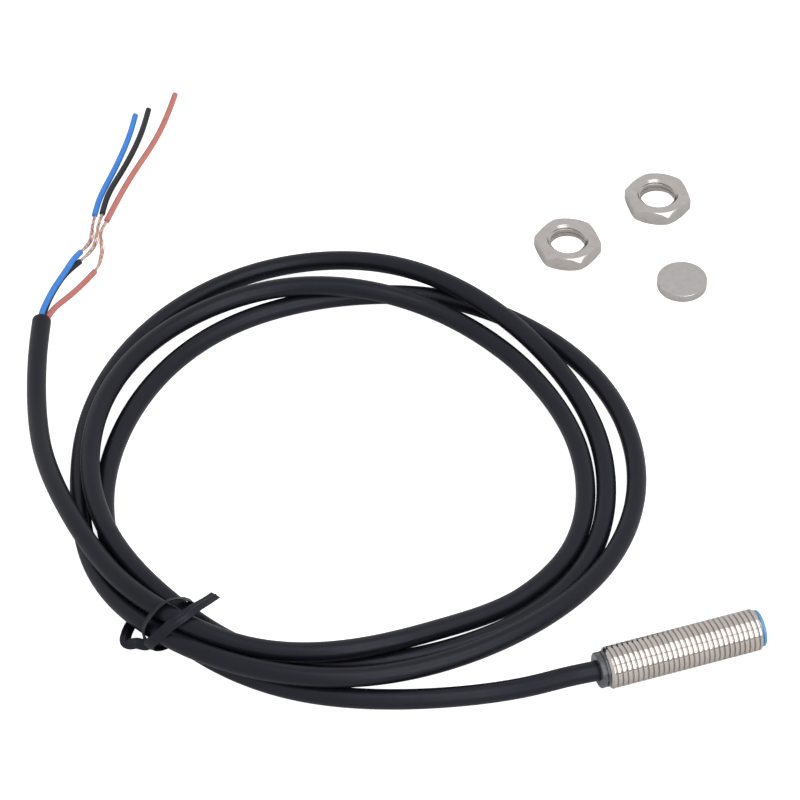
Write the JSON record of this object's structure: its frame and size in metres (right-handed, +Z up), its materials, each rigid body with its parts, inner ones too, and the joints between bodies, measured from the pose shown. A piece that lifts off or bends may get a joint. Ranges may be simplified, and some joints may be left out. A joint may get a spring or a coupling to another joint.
{
  "type": "proximity sensor",
  "caption": "Threaded tubular Hall-effect proximity sensor with a blue sensing cap, coiled three-core cable with stripped ends, thin lock nuts and a disc target magnet.",
  "frame": {"origin": "centre of the flat sensing face, on the barrel's axis", "axes": "+X along the barrel's axis, out of the sensing face; +Z up, away from the surface that everything lies on, 4 mm below the origin"},
  "size_m": [0.1473, 0.1848, 0.0104],
  "materials": {
    "nickel": "nickel-plated, satin machined thread",
    "nut_nickel": "nickel-plated, satin",
    "magnet": "nickel-plated, fine satin",
    "cap_blue": "moulded, semi-gloss",
    "bush_grey": "moulded, translucent grey",
    "board": "solder mask",
    "chip": "moulded epoxy",
    "ceramic": "fired ceramic",
    "led": "clear red lens",
    "potting": "cast resin",
    "jacket": "soft PVC, semi-matte",
    "tie": "embossed soft PVC",
    "core_blue": "extruded PVC, satin",
    "core_black": "extruded PVC, satin",
    "core_brown": "extruded PVC, satin",
    "copper": "bare stranded copper"
  },
  "bodies": {
    "sensor": {"threaded_barrel": "nickel", "sensing_face_cap": "cap_blue", "rear_bush": "bush_grey", "circuit_board": "board", "hall_sensor_chip": "chip", "output_transistor": "chip", "protection_diode": "chip", "pull_up_resistor": "ceramic", "filter_capacitor": "ceramic", "indicator_led": "led", "blue_inner_wire": "core_blue", "black_inner_wire": "core_black", "brown_inner_wire": "core_brown", "potting_plug": "potting", "cable_lead": "jacket", "cable_coil": "jacket", "cable_tail": "jacket", "twist_tie": "tie", "blue_core": "core_blue", "black_core": "core_black", "brown_core": "core_brown", "blue_strands": "copper", "black_strands": "copper", "brown_strands": "copper", "blue_tip_sleeve": "core_blue", "black_tip_sleeve": "core_black", "brown_tip_sleeve": "core_brown"},
    "lock_nut_1": {"lock_nut_1": "nut_nickel"},
    "lock_nut_2": {"lock_nut_2": "nut_nickel"},
    "target_magnet": {"target_magnet": "magnet"}
  },
  "joints": [
    {"name": "lift_nut_1", "type": "slide", "parent": "sensor", "child": "lock_nut_1", "axis": [0, 0, 1], "range_m": [0, 0.05]},
    {"name": "lift_nut_2", "type": "slide", "parent": "sensor", "child": "lock_nut_2", "axis": [0, 0, 1], "range_m": [0, 0.05]},
    {"name": "lift_magnet", "type": "slide", "parent": "sensor", "child": "target_magnet", "axis": [0, 0, 1], "range_m": [0, 0.05]}
  ]
}
